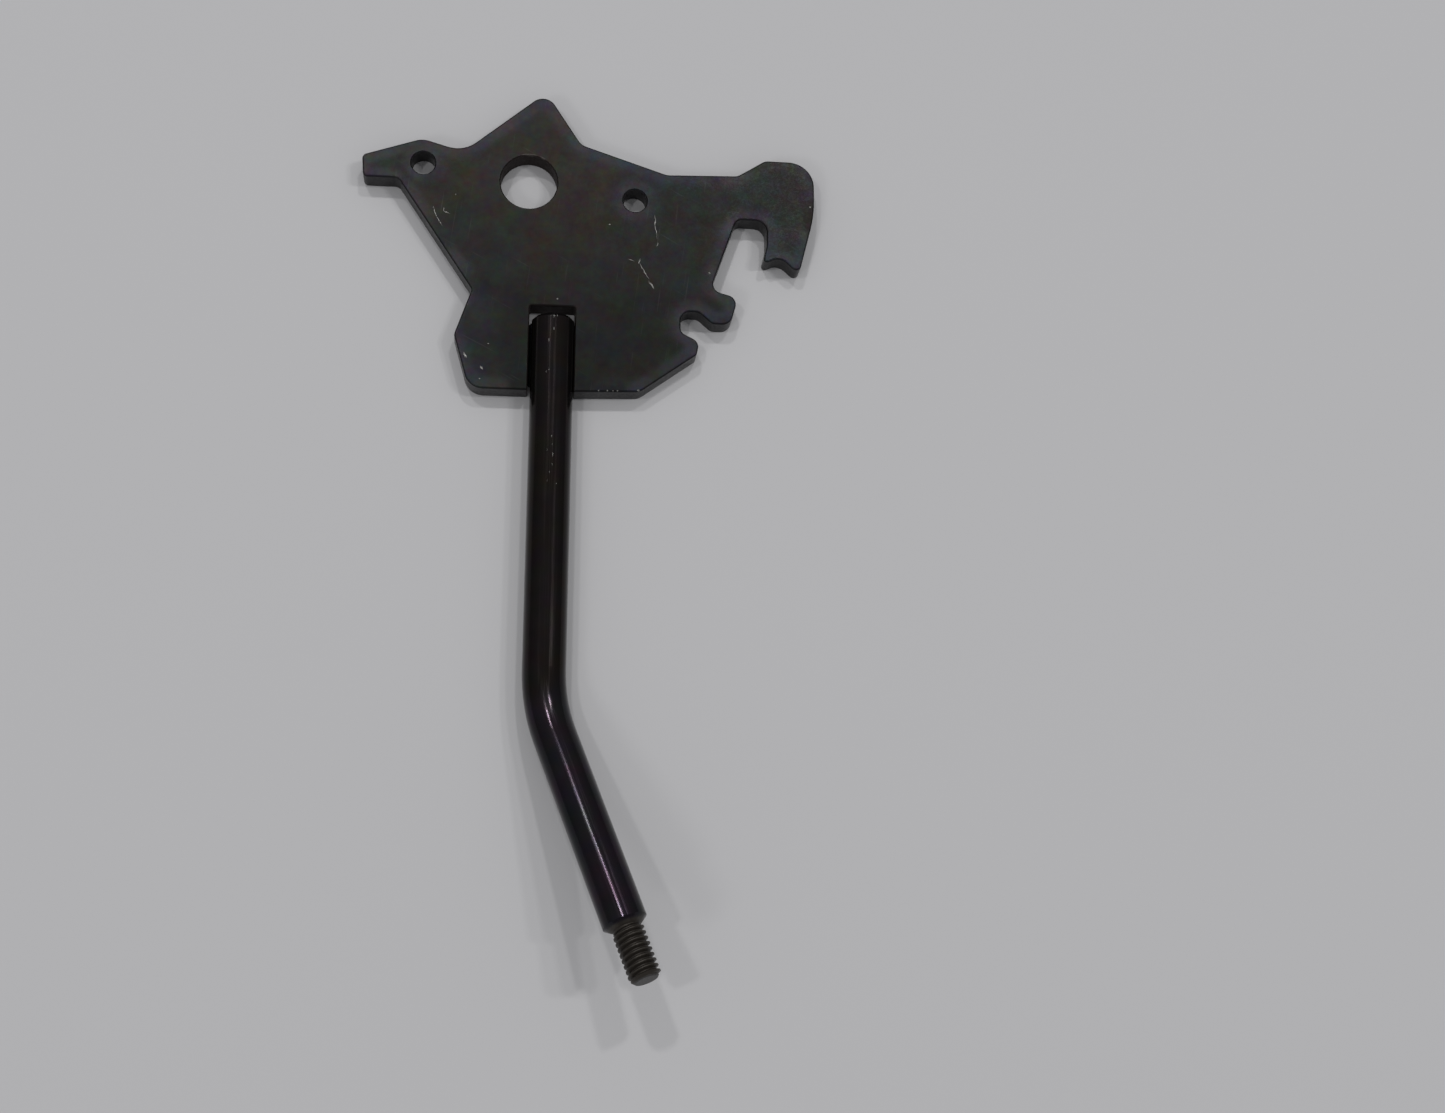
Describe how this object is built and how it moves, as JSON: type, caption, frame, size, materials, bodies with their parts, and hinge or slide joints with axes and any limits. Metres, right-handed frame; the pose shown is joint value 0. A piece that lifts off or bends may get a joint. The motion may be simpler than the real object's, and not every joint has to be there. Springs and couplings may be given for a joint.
{
  "type": "clutch lever",
  "caption": "Flat hooked lever plate with pivot hole and slot, and a bent round bar welded in the slot ending in a threaded stud.",
  "frame": {"origin": "centre of the pivot hole at half the plate's thickness", "axes": "+Z is the plate's normal and the pivot axis, away from the welds; +Y points from the bar towards the pivot; +X points towards the hook"},
  "size_m": [0.1207, 0.2337, 0.0285],
  "materials": {
    "plate_steel": "black zinc on punched steel, faintly mottled",
    "bar_steel": "glossy black zinc on drawn round bar, thread cut on the end",
    "weld_metal": "rippled groove weld under the same black zinc"
  },
  "bodies": {
    "root": {"lever_plate": "plate_steel", "lever_rod": "bar_steel", "weld_bead_left": "weld_metal", "weld_bead_right": "weld_metal"}
  },
  "joints": []
}
